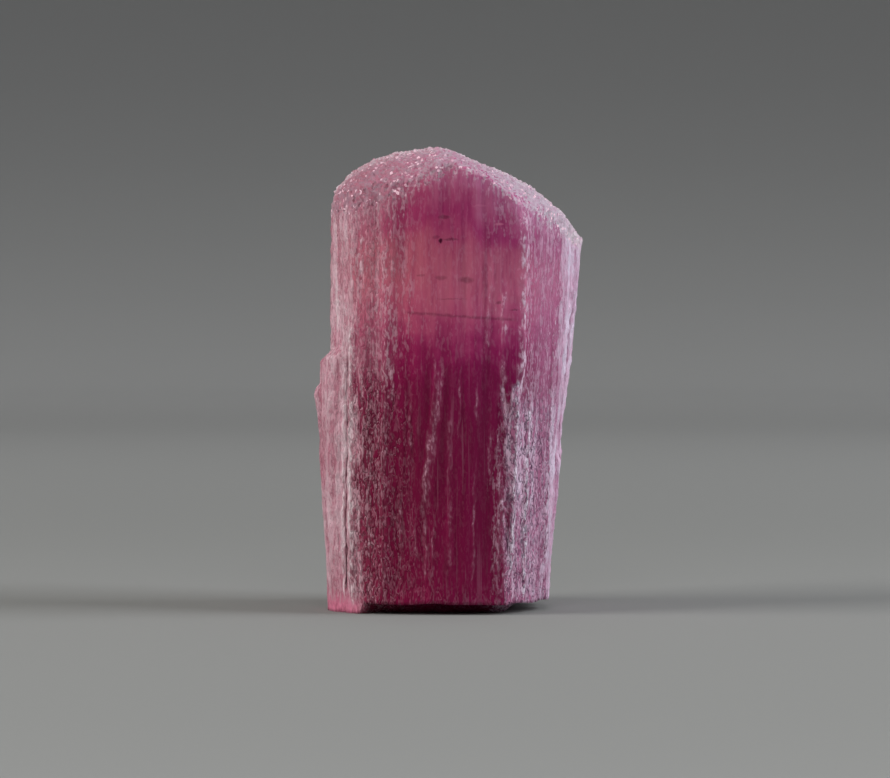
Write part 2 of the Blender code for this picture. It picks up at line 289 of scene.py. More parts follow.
def overgrowth(azimuth, level):
    """How far the overgrown ribs stand out of the prism."""
    thickest = np.zeros(level.shape)
    for (foot_left, left, right, foot_right), thickness in OVERGROWN_RIBS.values():
        turn = turn_between(azimuth, 0.5 * (left + right))
        half = 0.5 * (right - left)
        section = smooth(-half - (left - foot_left), -half, turn)
        section = section * smooth(half + (foot_right - right), half, turn)
        stands_out = along(thickness, level - OVERGROWN_TILT * turn) * section
        thickest = np.maximum(thickest, stands_out)
    return thickest


def broad_striae(x, y, level):
    """Relief of the broad striae: noise that is short around the prism and long up it."""
    relief = np.zeros(x.shape)
    for index in np.ndindex(x.shape):
        for width, depth in STRIAE:
            place = Vector((x[index] / width, y[index] / width, level[index] / STRIA_LENGTH))
            relief[index] += depth * noise.noise(place)
    return relief


def wall_points(azimuth, level):
    """Points of the prism's surface, and how much each lies on a painted highlight line, or below 0 in
    painted groove shade.
    """
    turn = np.radians(azimuth)
    radius = prism_radius(azimuth, level)
    striae = broad_striae(np.sin(turn) * radius, -np.cos(turn) * radius, level)
    radius = radius + striae + overgrowth(azimuth, level)
    relief, lines = ridges(azimuth, level, all_ribs() + list(FINE_LINES.values()))
    radius = radius + relief
    return np.stack((np.sin(turn) * radius, -np.cos(turn) * radius, level), -1), lines


def dome_height(x, y):
    """Level of the dome's surface, before its grains."""
    behind = y - CREST_DEPTH
    front_reach = PRISM_FACES["front"][3] + CREST_DEPTH
    back_reach = PRISM_FACES["back"][3] - CREST_DEPTH
    fall = np.where(behind < 0.0, along(FRONT_FALL, x), BACK_FALL)
    reach = np.where(behind < 0.0, front_reach, back_reach)
    return along(CREST, x) - fall * (np.abs(behind) / reach) ** DOME_ROUNDNESS


def foot_height(x, y, share):
    """Level of the broken foot; share is the distance from the axis over the rim's."""
    azimuth = np.degrees(np.arctan2(x, -y))
    outside = np.max((FLAT_LEFT - x, x - FLAT_RIGHT, FLAT_FRONT - y, y - FLAT_BACK), axis=0)
    rise = smooth(0.0, FLAT_MARGIN, outside)
    lobe = window(azimuth, LOBE_SPAN, LOBE_EDGE) * smooth(LOBE_REACH - LOBE_STEP, LOBE_REACH, share)
    wave = []
    for place in zip(x / RIM_WAVE_LENGTH, y / RIM_WAVE_LENGTH):
        wave.append(noise.noise(Vector((*place, RIM_WAVE_PLACE))))
    return (RIM_LIFT + RIM_WAVE * np.array(wave)) * rise * (1.0 - lobe)


def wall_grid():
    """Rings of points from the foot's rim to the dome's rim, and the pale lines there."""
    azimuth = 360.0 * np.arange(COLUMNS) / COLUMNS
    foot, _ = wall_points(azimuth, np.zeros(COLUMNS))
    head, _ = wall_points(azimuth, np.full(COLUMNS, HEAD_LEVEL))
    inset = SHOULDER_INSET * 0.5 * (1.0 - np.sin(np.radians(azimuth)))
    rim = dome_height(head[:, 0] * (1.0 - inset), head[:, 1] * (1.0 - inset))
    base = foot_height(foot[:, 0], foot[:, 1], np.ones(COLUMNS))
    rise = np.linspace(0.0, 1.0, WALL_RINGS)[:, None] ** RING_GATHER
    level = base + (rim - base) * rise
    points, lines = wall_points(azimuth[None, :], level)
    up = np.clip(1.0 - (rim - level) / SHOULDER_DEPTH, 0.0, 1.0)
    rounding = 1.0 - inset * (1.0 - np.sqrt(1.0 - up ** 2))
    points[..., :2] *= rounding[..., None]
    return points, lines


def cap(ring, spacing, level_at):
    """Points inside a ring, on a staggered grid, and the triangles that close the ring."""
    radii = np.hypot(ring[:, 0], ring[:, 1])
    count = int(GRID_REACH / spacing)
    rows, steps = np.mgrid[-count:count + 1, -count:count + 1]
    x = ((steps + 0.5 * (rows % 2)) * spacing).ravel()
    y = (rows * spacing * math.sqrt(0.75)).ravel()
    turn = np.degrees(np.arctan2(x, -y)) % 360.0
    rim = radii[np.round(turn * COLUMNS / 360.0).astype(int) % COLUMNS]
    share = np.hypot(x, y) / rim
    inner = share < 1.0 - RIM_GAP * spacing / rim
    x, y, share = x[inner], y[inner], share[inner]
    inside = np.stack((x, y, level_at(x, y, share)), -1)
    flat = [Vector(point[:2]) for point in np.concatenate((ring, inside))]
    result = delaunay_2d_cdt(flat, [], [list(range(len(ring)))], 1, SAME_POINT)
    origins = [source[0] for source in result[3]]
    return inside, [[origins[corner] for corner in face] for face in result[2]]


def patches_at(azimuth, level):
    """How frosted and how crackled the skin is, mixed from the patches that meet there."""
    length_round, length_up, wave_place = PATCH_WAVE
    wave = []
    for place in zip(azimuth / length_round, level / length_up):
        wave.append(noise.noise(Vector((*place, wave_place))))
    azimuth = azimuth + PATCH_RAGGED * np.array(wave)
    weight_between, frost_between, crackle_between = PATCH_BETWEEN
    total = np.full(azimuth.shape, weight_between)
    frost = frost_between * total
    crackle = crackle_between * total
    for first, last, low, high, frosted, crackled in PATCHES.values():
        weight = window(azimuth, (first, last), PATCH_EDGE_TURN)
        weight = weight * smooth(high + PATCH_EDGE_LEVEL, high - PATCH_EDGE_LEVEL, level)
        if low > 0.0:
            weight = weight * smooth(low - PATCH_EDGE_LEVEL, low + PATCH_EDGE_LEVEL, level)
        total = total + weight
        frost = frost + weight * frosted
        crackle = crackle + weight * crackled
    return frost / total, crackle / total


def sugar_at(points, rim_drop):
    """Where the skin is sugary: above a line on the front, and down over the rim behind."""
    above = points[:, 2] - along(SUGAR_EDGE, points[:, 0])
    on_front = smooth(-SUGAR_FADE, SUGAR_FADE, above)
    behind = smooth(SUGAR_OVER_RIM, 0.0, rim_drop)
    return behind + (on_front - behind) * smooth(*SUGAR_FRONT, points[:, 1])


def skin_faces(dome_faces, dome_start, foot_faces, foot_start):
    """The wall's squares, and the triangles of the dome and the foot, joined to its end rings."""
    faces = []
    for ring in range(WALL_RINGS - 1):
        for index in range(COLUMNS):
            a = ring * COLUMNS + index
            b = ring * COLUMNS + (index + 1) % COLUMNS
            faces.append((a, b, b + COLUMNS, a + COLUMNS))
    dome_rim = (WALL_RINGS - 1) * COLUMNS
    for cap_faces, rim, inside in ((dome_faces, dome_rim, dome_start), (foot_faces, 0, foot_start)):
        for face in cap_faces:
            faces.append([c + rim if c < COLUMNS else c - COLUMNS + inside for c in face])
    return faces


def skin_finish(points, wall, wall_lines, foot_start):
    """How frosted, crackled, lined and sugary the skin is at each point."""
    azimuth = np.degrees(np.arctan2(points[:, 0], -points[:, 1]))
    frost, crackle = patches_at(azimuth, points[:, 2])
    rim_drop = np.zeros(len(points))
    rim_drop[:wall_lines.size] = (wall[-1][:, 2][None, :] - wall[..., 2]).ravel()
    rim_drop[foot_start:] = HEAD_LEVEL
    lines = np.zeros(len(points))
    lines[:wall_lines.size] = wall_lines.ravel()
    under_dome = points[:, 2] - along(SUGAR_EDGE, points[:, 0])
    frost = frost + HEAD_HAZE * smooth(-HEAD_HAZE_DEPTH, 0.0, under_dome) * (1.0 - frost)
    return {"frost": frost, "crackle": crackle, "line": lines, "sugar": sugar_at(points, rim_drop)}


def put_in_scene(item):
    """Show an object, light or camera in the scene."""
    bpy.context.scene.collection.objects.link(item)


def crystal_skin():
    """The crystal's closed skin: wall, dome and foot in one mesh, with its finish at each point."""
    wall, wall_lines = wall_grid()
    dome_inside, dome_faces = cap(wall[-1], DOME_SPACING, lambda x, y, share: dome_height(x, y))
    foot_inside, foot_faces = cap(wall[0], FOOT_SPACING, foot_height)
    points = np.concatenate((wall.reshape(-1, 3), dome_inside, foot_inside))
    dome_start = WALL_RINGS * COLUMNS
    foot_start = dome_start + len(dome_inside)
    faces = skin_faces(dome_faces, dome_start, foot_faces, foot_start)
    finish = skin_finish(points, wall, wall_lines, foot_start)

    middle = 0.5 * (points[:, :2].min(axis=0) + points[:, :2].max(axis=0))
    centre = 0.5 * (cad_low + cad_high)
    points[:, :2] += np.array(centre[:2]) / MM - middle
    mesh = bpy.data.meshes.new("crystal")
    mesh.from_pydata((points * MM).tolist(), [], faces)
    for name, values in finish.items():
        mesh.attributes.new(name, "FLOAT", "POINT").data.foreach_set("value", values)
    form = bmesh.new()
    form.from_mesh(mesh)
    bmesh.ops.recalc_face_normals(form, faces=form.faces)
    form.to_mesh(mesh)
    form.free()
    mesh.shade_smooth()
    return mesh


# ------------------------ the crystal: its colour
# Rubellite is clear inside and takes its red from manganese. The foot half is dark burgundy, the
# upper half brownish pink, and a magenta band lies under the dome. The etched skin scatters
# light, so it is pale: rose on the left, lilac on the right, silvery on the sugary dome.
# Light and shade are painted into the colour as well: thin edges painted paler, silvery highlights along
# the ribs, hair lines and the dome's crest, glints on its grains, and shade in the cuts and grooves.
BODY_COLOURS = (  # level in millimetres, then the colour of the stone seen through its skin
    (0.0, (0.280, 0.006, 0.062)),
    (2.5, (0.205, 0.002, 0.041)),
    (15.0, (0.185, 0.002, 0.040)),
    (19.0, (0.215, 0.002, 0.050)),
    (21.5, (0.285, 0.008, 0.074)),
    (23.2, (0.385, 0.038, 0.113)),
    (24.8, (0.510, 0.112, 0.164)),
    (26.6, (0.560, 0.155, 0.184)),
    (29.6, (0.490, 0.142, 0.158)),
    (31.4, (0.455, 0.098, 0.145)),
    (32.8, (0.375, 0.045, 0.120)),
    (33.8, (0.380, 0.052, 0.126)),
    (35.2, (0.440, 0.115, 0.165)),
    (37.0, (0.520, 0.190, 0.240)),
)
BODY_DEEP = (1.06, 0.80, 1.00)  # between its streaks the stone is a purer red
HEAD_TILT = 0.42  # the magenta band under the dome sinks this much to the right
HEAD_TILT_START = -1.0
BODY_TOP = 40.0
BODY_UNEVEN = 4.6  # how far the bands of colour wander up and down, in millimetres
BODY_LAYERS = 0.8  # and how far thin layers of growth shift them
BODY_CLOUDS = 4.6  # and how far soft clouds in the stone do
BODY_STREAK = (0.76, 0.52, 0.72)  # the darkest streaks in the stone, as a share of its colour
RIGHT_TINT = (0.90, 1.00, 1.30)  # the stone is purpler to the right
# A pair of colours is the one at the crystal's left and the one at its right. The lilac at the right is
# partly painted cool light from that side.
EDGE_STONE = (0.500, 0.175, 0.240), (0.460, 0.165, 0.300)  # painted light: thin edges are painted paler, as light comes through them
FROST = (0.850, 0.640, 0.700), (0.790, 0.660, 0.815)
BLUSH = (0.800, 0.370, 0.480), (0.740, 0.400, 0.570)  # the frost is pinker in blotches
LOBE_PINK = (0.870, 0.250, 0.400)  # the small lobe at the foot is clearer and pinker
RIDGE_HIGHLIGHT = (0.870, 0.670, 0.720), (0.860, 0.760, 0.880)  # a painted silvery highlight along the frosted ribs
SUGAR = (0.405, 0.226, 0.290), (0.590, 0.500, 0.580)
# painted highlight: the dome's crest and the dome behind it are painted silvery-white
SUGAR_CREST_HIGHLIGHT = (0.700, 0.600, 0.650)
# painted glints: some of the dome's grains are painted as bright specks of reflected light
SUGAR_GLINT = (1.000, 0.660, 0.770)
SUGAR_GRAIN = 0.21
CUT_SHADE = (0.085, 0.022, 0.036), (0.062, 0.024, 0.066)
CUT_SHADE_CLEAR = (0.100, 0.002, 0.022)

FRACTURE_LEVEL, FRACTURE_TILT = 24.62, -0.067  # a healed fracture crosses the stone here
FRACTURE_THICKNESS = 0.20
FRACTURE_DARKNESS = 0.36
INCLUSION_RAGGED = 0.35  # how far the edges of the fracture and the inclusions wander

INCLUSIONS = {  # across, level, half width and half height, and how dark (or how light, below 0)
    "dark_dash": (-0.33, 32.70, 0.55, 0.17, 0.45),
    "dark_seed": (-0.65, 30.74, 0.17, 0.24, 0.95),
    "dark_seed_tail": (-1.00, 31.05, 0.35, 0.14, 0.30),
    "dark_seed_trail": (0.20, 30.85, 0.70, 0.14, 0.45),
    "smudge_left": (-2.30, 27.90, 0.40, 0.10, 0.30),
    "smudge_middle": (-0.63, 27.70, 0.55, 0.22, 0.32),
    "smudge_right": (1.46, 27.55, 0.70, 0.30, 0.38),
    "faint_line": (0.20, 25.97, 1.40, 0.07, 0.28),
    "spot_right": (4.10, 25.66, 0.24, 0.15, 0.45),
    "short_crack": (5.40, 25.10, 0.45, 0.07, 0.45),
    "pink_fleck": (4.14, 32.10, 0.42, 0.12, -0.55),
    "pink_dot": (5.73, 28.40, 0.14, 0.12, -0.55),
    "pale_scallop": (2.60, 33.60, 0.70, 0.10, -0.25),
}
INCLUSION_DARK = (0.050, 0.002, 0.016)
INCLUSION_PINK = (0.640, 0.200, 0.330)

PATTERNS = {  # noise in the stone and its skin: width across the prism, length up it, and detail
    "wander": (1.5, 7.0, 3.0),
    "layers": (7.0, 0.7, 1.0),
    "clouds": (2.4, 1.6, 2.0),
    "ragged": (0.5, 0.5, 3.0),
    "hairs": (0.20, 11.0, 1.0),
    "cuts": (0.30, 0.85, 1.5),
    "fine": (0.13, 1.3, 0.0),
    "striae": (0.26, 3.6, 2.0),
    "broad": (0.80, 9.0, 2.0),
    "blotches": (1.0, 2.2, 1.0),
    "grit": (0.17, 0.34, 1.0),
    "lumps": (0.26, 0.80, 1.5),
    "clumps": (0.50, 0.36, 1.0),
}
SPREAD_PATTERNS = ("fine", "striae", "broad", "blotches", "grit", "lumps", "clumps")
SPREAD_RANGE = (0.34, 0.66)
WEAVE = {"grit": 0.27, "lumps": 0.37, "fine": 0.13, "striae": 0.23}  # what the frost is made of
BUMPS = {"fine": 0.4, "striae": 0.5, "grit": 0.6}  # and what its relief is made of
CUT_WIDTH, PIT_WIDTH = 0.070, 0.075
LIP_WIDTH, LIP_ASIDE = 0.065, -0.085  # a cut has a pale lip along one side
GRAIN_GAP = 0.05

CHANGES = {  # where a look sets in: not at all at the first value, in full at the second
    "rightward": (-8.0, 8.0),  # across
    "left_side": (-7.8, -9.2),
    "right_side": (5.6, 8.2),
    "lobe_side": (-6.7, -7.9),
    "fracture_left": (-3.8, -3.2),
    "fracture_right": (5.8, 5.0),
    "in_front": (-1.0, -3.0),  # behind
    # where the painted highlight on the dome's crest sets in
    "dome_rim": (-4.8, -0.8),
    "lobe_top": (2.5, 1.1),  # level
    "tilted": (26.0, 33.0),
    "layered": (33.0, 29.0),
    "pitted": (0.03, 0.25),  # frost
    "thin": (0.14, 0.70),
    "calm": (0.24, 0.52),
    "frosted": (0.15, 0.45),
    "sugar_starts": (0.0, 0.25),  # sugar
    "sugared": (0.15, 0.90),
    "spot": (1.3, 0.1),  # patterns
    "hairs": (0.63, 0.76),
    "weave": (0.51, 0.83),
    "glint": (0.90, 0.98),
}
SHARES = {  # how strongly one thing shows in another, and what is there without it
    "striae in cuts": (0.4, 0.7),
    "grit in lips": (0.7, 0.3),
    "grit in pits": (0.7, 0.1),
    "crackle in pits": (0.7, 0.3),
    "lobe in cuts": (-0.8, 1.0),
    "striae in streaks": (0.8, 0.2),
    "broad in frost": (0.80, 0.60),
    "frost in cover": (1.10, 0.02),
    "lumps in lines": (0.60, 0.25),
    "blotches in lines": (0.90, 0.40),
    "frost in lips": (0.80, 0.30),
    "lumps in lobe": (0.60, 0.25),
    "facets in crust": (0.45, 0.45),
    "right in crust": (-0.60, 1.0),
    "cover in roughness": (0.34, 0.18),
}
LOBE_RAGGED = 0.9
# painted shade in the grooves: a line below 0 darkens a groove as a cut is darkened
GROOVE_DARKNESS = -2.2
CUT_DARKNESS = 0.90
SIDE_PALENESS = 0.60
# painted highlights: thin pale hair lines on the clear stone
HAIR_PALENESS = 0.08
FROST_IN_WEAVE = 0.45
CALM_COVER, CALM_SHARE = 0.85, 0.62  # thick frost that isn't crackled is more even
# how ragged the ribs' pale lines are, and how strongly their painted silvery highlight shows
LINE_GRIT, LINE_SILVER = 2.2, 3.0
BLUSH_IN_BLOTCHES, BLUSH_WHERE_CLEAR = 0.55, 0.75
SUGAR_EDGE_GRAINS, SUGAR_EDGE_LUMPS, SUGAR_EDGE_RETREAT = 0.8, 0.5, 0.65
GAPS_IN_CRUST, CLUMPS_IN_CRUST = 0.35, -0.70
FACET_TILT = 0.8
BUMP_STRENGTH, BUMP_DEPTH = 0.6, 0.10

STONE_IOR = 1.63
STONE_SPECULAR = 0.08
STONE_CLEARNESS = 0.13
STONE_ABSORBS = (0.88, 0.03, 0.48, 1.0)
STONE_DENSITY = 180.0


def linked(tree, socket, value):
    """Set a socket to a plain value, or link another socket to it."""
    if isinstance(value, bpy.types.NodeSocket):
        tree.links.new(value, socket)
    else:
        socket.default_value = value


def filled(tree, node, inputs):
    """Set or link a node's inputs by their names."""
    for name, value in inputs.items():
        linked(tree, node.inputs[name], value)
    return node


def calc(tree, operation, *values):
    """One Math node."""
    node = tree.nodes.new("ShaderNodeMath")
    node.operation = operation
    for socket, value in zip(node.inputs, values):
        linked(tree, socket, value)
    return node.outputs[0]


def product(tree, *values):
    """Several values multiplied together."""
    total = values[0]
    for value in values[1:]:
        total = calc(tree, "MULTIPLY", total, value)
    return total


def plus(tree, base, pattern, share):
    """A base value with a share of a pattern added."""
    return calc(tree, "MULTIPLY_ADD", pattern, share, base)


def ramp_between(tree, value, low, high):
    """0 at one value, 1 at another, smooth between."""
    node = tree.nodes.new("ShaderNodeMapRange")
    node.interpolation_type = "SMOOTHSTEP"
    filled(tree, node, {"Value": value, "From Min": low, "From Max": high})
    return node.outputs["Result"]


def vector_math(tree, operation, *values, scale=None):
    """One Vector Math node."""
    node = tree.nodes.new("ShaderNodeVectorMath")
    node.operation = operation
    for socket, value in zip(node.inputs, values):
        linked(tree, socket, value)
    if scale is not None:
        linked(tree, node.inputs["Scale"], scale)
    return node.outputs["Value" if operation == "LENGTH" else "Vector"]


def in_millimetres(tree, place):
    """A place in millimetres."""
    return vector_math(tree, "SCALE", place, scale=1.0 / MM)


def split_up(tree, place):
    """How far across, how far behind, and the level of a place."""
    node = tree.nodes.new("ShaderNodeSeparateXYZ")
    linked(tree, node.inputs[0], place)
    return node.outputs


def drawn_out(tree, place, across, length, detail):
    """Noise that is short around the crystal and long up it."""
    place = vector_math(tree, "MULTIPLY", place, (1.0 / across, 1.0 / across, 1.0 / length))
    grain = tree.nodes.new("ShaderNodeTexNoise")
    filled(tree, grain, {"Scale": 1.0, "Detail": detail, "Vector": place})
    return grain.outputs["Fac"]


def centred(tree, grain):
    """Noise to both sides of nought."""
    return calc(tree, "SUBTRACT", grain, 0.5)


def outlines(tree, grain, width):
    """1 along wavering, branching lines, where noise passes its middle value, and 0 between them."""
    return ramp_between(tree, calc(tree, "ABSOLUTE", centred(tree, grain)), width, 0.0)


def mixed(tree, share, first, second, blend="MIX"):
    """Mix two colours."""
    node = tree.nodes.new("ShaderNodeMix")
    node.data_type = "RGBA"
    node.blend_type = blend
    linked(tree, node.inputs["Factor"], share)
    sockets = [socket for socket in node.inputs if socket.type == "RGBA"]
    for socket, colour in zip(sockets, (first, second)):
        linked(tree, socket, (*colour, 1.0) if isinstance(colour, tuple) else colour)
    return [socket for socket in node.outputs if socket.type == "RGBA"][0]


def sets_in(tree, value, name):
    """How far a look has set in at a value, from the table of changes."""
    return ramp_between(tree, value, *CHANGES[name])


def shown(tree, pattern, name):
    """A pattern as strong as the table of shares says."""
    share, without = SHARES[name]
    return plus(tree, without, pattern, share)


def woven(tree, at, shares):
    """Several patterns added up, each times its share."""
    total = 0.0
    for name, share in shares.items():
        total = plus(tree, total, getattr(at, name), share)
    return total


def place_on_crystal(tree):
    """What the looks are mixed from: the place on the crystal, its finish there and the patterns."""
    coordinate = tree.nodes.new("ShaderNodeTexCoord")
    place = in_millimetres(tree, coordinate.outputs["Object"])
    across, behind, level = split_up(tree, place)
    at = SimpleNamespace(place=place, across=across, behind=behind, level=level)
    for name in ("frost", "crackle", "sugar", "line"):
        node = tree.nodes.new("ShaderNodeAttribute")
        node.attribute_name = name
        setattr(at, name, node.outputs["Fac"])
    at.clear = calc(tree, "SUBTRACT", 1.0, at.frost)
    at.noise = {name: drawn_out(tree, place, *size) for name, size in PATTERNS.items()}
    for name in SPREAD_PATTERNS:
        setattr(at, name, ramp_between(tree, at.noise[name], *SPREAD_RANGE))
    at.rightward = sets_in(tree, across, "rightward")
    at.in_front = sets_in(tree, behind, "in_front")
    # painted light: the crystal's left and right sides are painted paler, as lit through
    sides = calc(tree, "ADD", sets_in(tree, across, "right_side"), sets_in(tree, across, "left_side"))
    at.thin = calc(tree, "MAXIMUM", sets_in(tree, at.frost, "thin"), product(tree, sides, SIDE_PALENESS))
    lobe_level = plus(tree, level, at.lumps, LOBE_RAGGED)
    at.in_lobe = product(tree, sets_in(tree, lobe_level, "lobe_top"), sets_in(tree, across, "lobe_side"))
    return at


def bands_of_colour(tree, at):
    """The stone's own colour, in bands that wander a little up and down."""
    sunk = calc(tree, "MAXIMUM", calc(tree, "SUBTRACT", at.across, HEAD_TILT_START), 0.0)
    sunk = product(tree, sunk, HEAD_TILT)
    level = plus(tree, at.level, sunk, sets_in(tree, at.level, "tilted"))
    level = plus(tree, level, centred(tree, at.noise["wander"]), BODY_UNEVEN)
    layers = product(tree, centred(tree, at.noise["layers"]), sets_in(tree, at.level, "layered"))
    level = plus(tree, level, layers, BODY_LAYERS)
    level = plus(tree, level, centred(tree, at.noise["clouds"]), BODY_CLOUDS)
    bands = tree.nodes.new("ShaderNodeValToRGB")
    linked(tree, bands.inputs["Fac"], calc(tree, "DIVIDE", level, BODY_TOP))
    bands.color_ramp.interpolation = "B_SPLINE"
    elements = bands.color_ramp.elements
    elements[0].position = 0.0
    elements[1].position = BODY_COLOURS[-1][0] / BODY_TOP
    for step_level, _ in BODY_COLOURS[1:-1]:
        elements.new(step_level / BODY_TOP)
    for element, (_, colour) in zip(elements, BODY_COLOURS):
        element.color = (*colour, 1.0)
    return bands.outputs["Color"]


def blot(tree, across, level, middle, middle_level, half_width, half_height):
    """1 in the middle of a soft-edged spot, and 0 outside."""
    dx = calc(tree, "DIVIDE", calc(tree, "SUBTRACT", across, middle), half_width)
    dz = calc(tree, "DIVIDE", calc(tree, "SUBTRACT", level, middle_level), half_height)
    return sets_in(tree, calc(tree, "ADD", product(tree, dx, dx), product(tree, dz, dz)), "spot")


def with_inclusions(tree, at, colour):
    """Lay the healed fracture and the small inclusions into the stone's colour."""
    shift = product(tree, centred(tree, at.noise["ragged"]), INCLUSION_RAGGED)
    fracture = plus(tree, FRACTURE_LEVEL, at.across, FRACTURE_TILT)
    fracture = calc(tree, "ADD", calc(tree, "SUBTRACT", at.level, fracture), shift)
    dark = ramp_between(tree, calc(tree, "ABSOLUTE", fracture), FRACTURE_THICKNESS, 0.0)
    dark = product(tree, dark, sets_in(tree, at.across, "fracture_left"),
                   sets_in(tree, at.across, "fracture_right"), FRACTURE_DARKNESS)
    light = 0.0
    level = calc(tree, "ADD", at.level, shift)
    across = calc(tree, "ADD", at.across, shift)
    for x, z, half_width, half_height, shade in INCLUSIONS.values():
        spot = blot(tree, across, level, x, z, half_width, half_height)
        if shade > 0.0:
            dark = calc(tree, "MAXIMUM", dark, product(tree, spot, shade))
        else:
            light = calc(tree, "MAXIMUM", light, product(tree, spot, -shade))
    colour = mixed(tree, product(tree, dark, at.in_front), colour, INCLUSION_DARK)
    return mixed(tree, product(tree, light, at.in_front), colour, INCLUSION_PINK)


def bare_stone(tree, at):
    """The stone under its skin, streaked, and painted paler at the thin edges than in the middle, as
    light comes through them.
    """
    stone = bands_of_colour(tree, at)
    stone = mixed(tree, at.rightward, stone, mixed(tree, 1.0, stone, RIGHT_TINT, "MULTIPLY"))
    stone = mixed(tree, 1.0, stone, BODY_DEEP, "MULTIPLY")
    streak = product(tree, at.broad, shown(tree, at.striae, "striae in streaks"))
    stone = mixed(tree, streak, stone, mixed(tree, 1.0, stone, BODY_STREAK, "MULTIPLY"))
    stone = with_inclusions(tree, at, stone)
    return mixed(tree, at.thin, stone, mixed(tree, at.rightward, *EDGE_STONE))


def cuts_and_lips(tree, at):
    """Dark cuts, pits and grooves in the skin, darkened with painted shade, and the pale lips along the
    cuts.
    """
    cuts = product(tree, outlines(tree, at.noise["cuts"], CUT_WIDTH), at.crackle)
    cuts = product(tree, cuts, shown(tree, at.striae, "striae in cuts"))
    lips = outlines(tree, calc(tree, "ADD", at.noise["cuts"], LIP_ASIDE), LIP_WIDTH)
    lips = product(tree, lips, at.crackle, shown(tree, at.grit, "grit in lips"))
    pits = outlines(tree, at.noise["lumps"], PIT_WIDTH)
    pits = product(tree, pits, shown(tree, at.grit, "grit in pits"))
    pits = product(tree, pits, sets_in(tree, at.frost, "pitted"))
    pits = product(tree, pits, shown(tree, at.crackle, "crackle in pits"))
    cuts = calc(tree, "MAXIMUM", cuts, pits)
    cuts = calc(tree, "MAXIMUM", cuts, product(tree, at.line, GROOVE_DARKNESS))
    return product(tree, cuts, shown(tree, at.in_lobe, "lobe in cuts")), lips


def frost_cover(tree, at, lips):
    """How much of the stone the frost hides: striae and squiggles, pale lips, and painted highlights
    along hair lines and ribs.
    """
    denser = product(tree, at.frost, shown(tree, at.broad, "broad in frost"))
    weave = sets_in(tree, plus(tree, woven(tree, at, WEAVE), denser, FROST_IN_WEAVE), "weave")
    calm = product(tree, sets_in(tree, at.frost, "calm"), calc(tree, "SUBTRACT", 1.0, at.crackle))
    calm = product(tree, calm, CALM_SHARE)
    weave = plus(tree, weave, calc(tree, "SUBTRACT", CALM_COVER, weave), calm)
    cover = product(tree, weave, shown(tree, denser, "frost in cover"))
    hairs = product(tree, sets_in(tree, at.noise["hairs"], "hairs"), at.clear, HAIR_PALENESS)
    cover = calc(tree, "ADD", cover, hairs)
    ragged = shown(tree, at.lumps, "lumps in lines")
    ragged = plus(tree, ragged, product(tree, at.lumps, at.grit), LINE_GRIT)
    ragged = product(tree, ragged, shown(tree, at.blotches, "blotches in lines"))
    cover = plus(tree, cover, at.line, ragged)
    cover = calc(tree, "MAXIMUM", cover, product(tree, lips, shown(tree, at.frost, "frost in lips")))
    glassy = product(tree, at.in_lobe, shown(tree, at.lumps, "lumps in lobe"))
    return calc(tree, "MINIMUM", calc(tree, "MAXIMUM", cover, glassy), 1.0)


def frost_colour(tree, at):
    """The frost's colour: pinker in blotches and in the lobe, with a painted silvery highlight along the
    ribs.
    """
    pale = mixed(tree, at.rightward, *FROST)
    blush = product(tree, at.blotches, BLUSH_IN_BLOTCHES)
    blush = calc(tree, "MAXIMUM", blush, product(tree, at.clear, at.clear, BLUSH_WHERE_CLEAR))
    pale = mixed(tree, blush, pale, mixed(tree, at.rightward, *BLUSH))
    pale = mixed(tree, at.in_lobe, pale, LOBE_PINK)
    ridge_sheen = calc(tree, "MINIMUM", product(tree, at.line, at.thin, LINE_SILVER), 1.0)
    return mixed(tree, ridge_sheen, pale, mixed(tree, at.rightward, *RIDGE_HIGHLIGHT))


def frosted_skin(tree, at, stone, cover, cuts):
    """The stone with its frost on it and its cuts in it."""
    skin = mixed(tree, cover, stone, frost_colour(tree, at))
    shade = mixed(tree, at.rightward, *CUT_SHADE)
    shade = mixed(tree, sets_in(tree, at.frost, "frosted"), CUT_SHADE_CLEAR, shade)
    return mixed(tree, product(tree, cuts, CUT_DARKNESS), skin, shade)


def sugar_crust(tree, at, grains, stone):
    """How far the dome's sugary crust covers the skin, and its colour, which each grain varies, with
    painted glints and a painted highlight along the crest.
    """
    facet = tree.nodes.new("ShaderNodeSeparateColor")
    linked(tree, facet.inputs[0], grains)
    uneven = product(tree, at.lumps, SUGAR_EDGE_LUMPS)
    uneven = plus(tree, uneven, facet.outputs[1], SUGAR_EDGE_GRAINS)
    uneven = calc(tree, "SUBTRACT", uneven, SUGAR_EDGE_RETREAT)
    uneven = product(tree, uneven, sets_in(tree, at.sugar, "sugar_starts"))
    sugared = sets_in(tree, calc(tree, "ADD", at.sugar, uneven), "sugared")
    crust = mixed(tree, at.rightward, *SUGAR)
    crust = mixed(tree, sets_in(tree, at.behind, "dome_rim"), crust, SUGAR_CREST_HIGHLIGHT)
    sunk = shown(tree, facet.outputs[0], "facets in crust")
    sunk = plus(tree, sunk, outlines(tree, at.noise["grit"], GRAIN_GAP), GAPS_IN_CRUST)
    sunk = plus(tree, sunk, at.clumps, CLUMPS_IN_CRUST)
    sunk = product(tree, sunk, shown(tree, at.rightward, "right in crust"))
    crust = mixed(tree, calc(tree, "MAXIMUM", sunk, 0.0), crust, stone)
    return sugared, mixed(tree, sets_in(tree, facet.outputs[2], "glint"), crust, SUGAR_GLINT)


